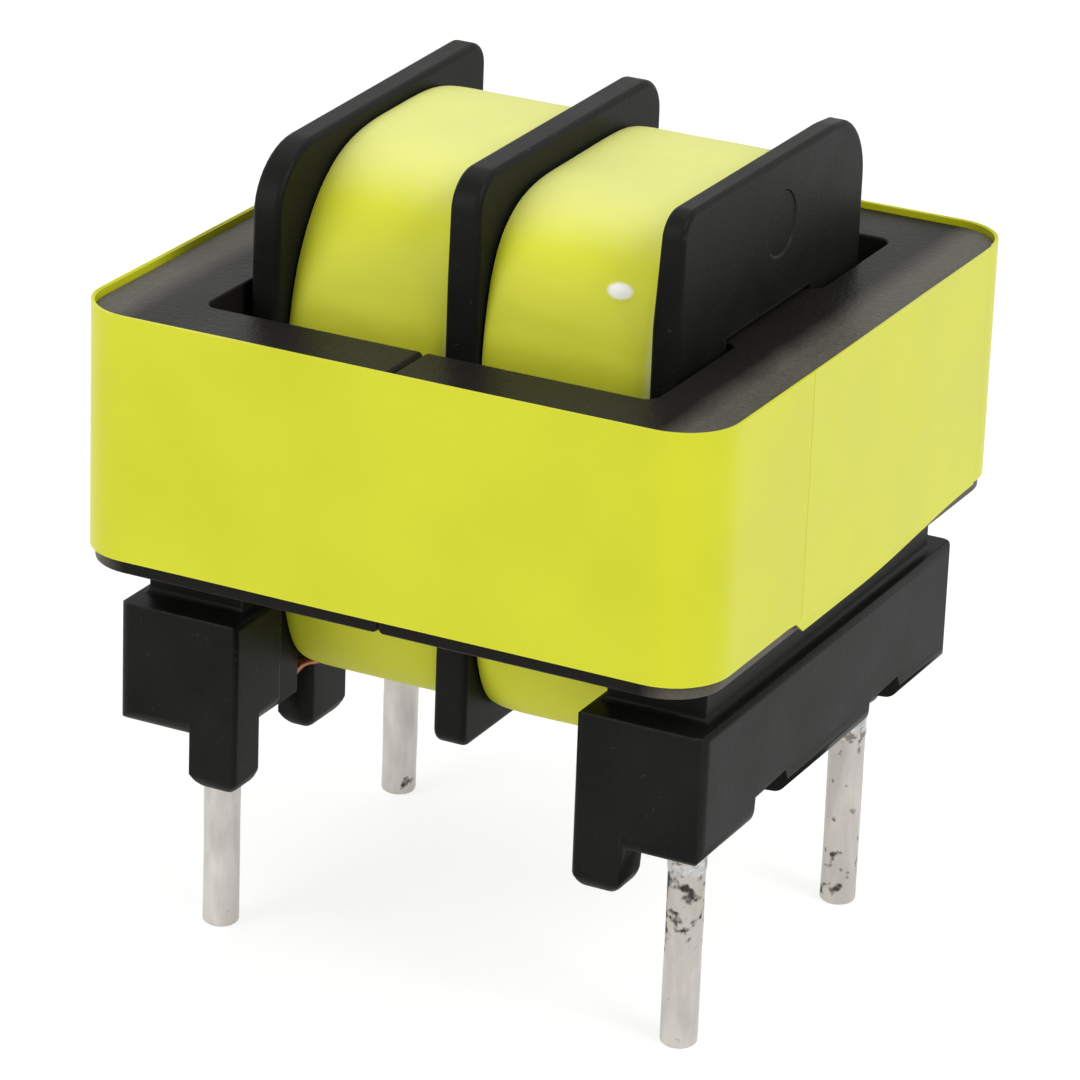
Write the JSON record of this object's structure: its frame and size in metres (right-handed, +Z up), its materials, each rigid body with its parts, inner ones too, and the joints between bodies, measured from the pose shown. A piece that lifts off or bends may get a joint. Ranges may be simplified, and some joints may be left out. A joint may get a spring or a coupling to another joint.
{
  "type": "pcb transformer",
  "caption": "Through-hole transformer: taped ferrite E-core on a divided black bobbin with stand-off feet and round tinned pins.",
  "frame": {"origin": "middle of the part in plan, at the level of the pin tips", "axes": "+X along the winding axis, +Y across it towards the back, +Z up from the board"},
  "size_m": [0.0146, 0.0152, 0.018],
  "materials": {
    "bobbin_plastic": "moulded, slightly glossy",
    "ferrite": "sintered, matt",
    "core_tape": "polyester film, satin",
    "coil_tape": "polyester film, satin",
    "winding_copper": "enamelled copper",
    "pin_metal": "tinned, dull",
    "lead_wire": "enamelled copper",
    "solder": "tin solder, smooth"
  },
  "bodies": {
    "root": {"bobbin": "bobbin_plastic", "core_left": "ferrite", "core_right": "ferrite", "core_tape": "core_tape", "winding_left": "winding_copper", "winding_right": "winding_copper", "coil_tape_left": "coil_tape", "coil_tape_right": "coil_tape", "pin_front_left": "pin_metal", "pin_front_right": "pin_metal", "pin_back_left": "pin_metal", "pin_back_right": "pin_metal", "lead_front_left": "lead_wire", "lead_front_right": "lead_wire", "lead_back_left": "lead_wire", "lead_back_right": "lead_wire", "solder_front_left": "solder", "solder_front_right": "solder", "solder_back_left": "solder", "solder_back_right": "solder"}
  },
  "joints": []
}
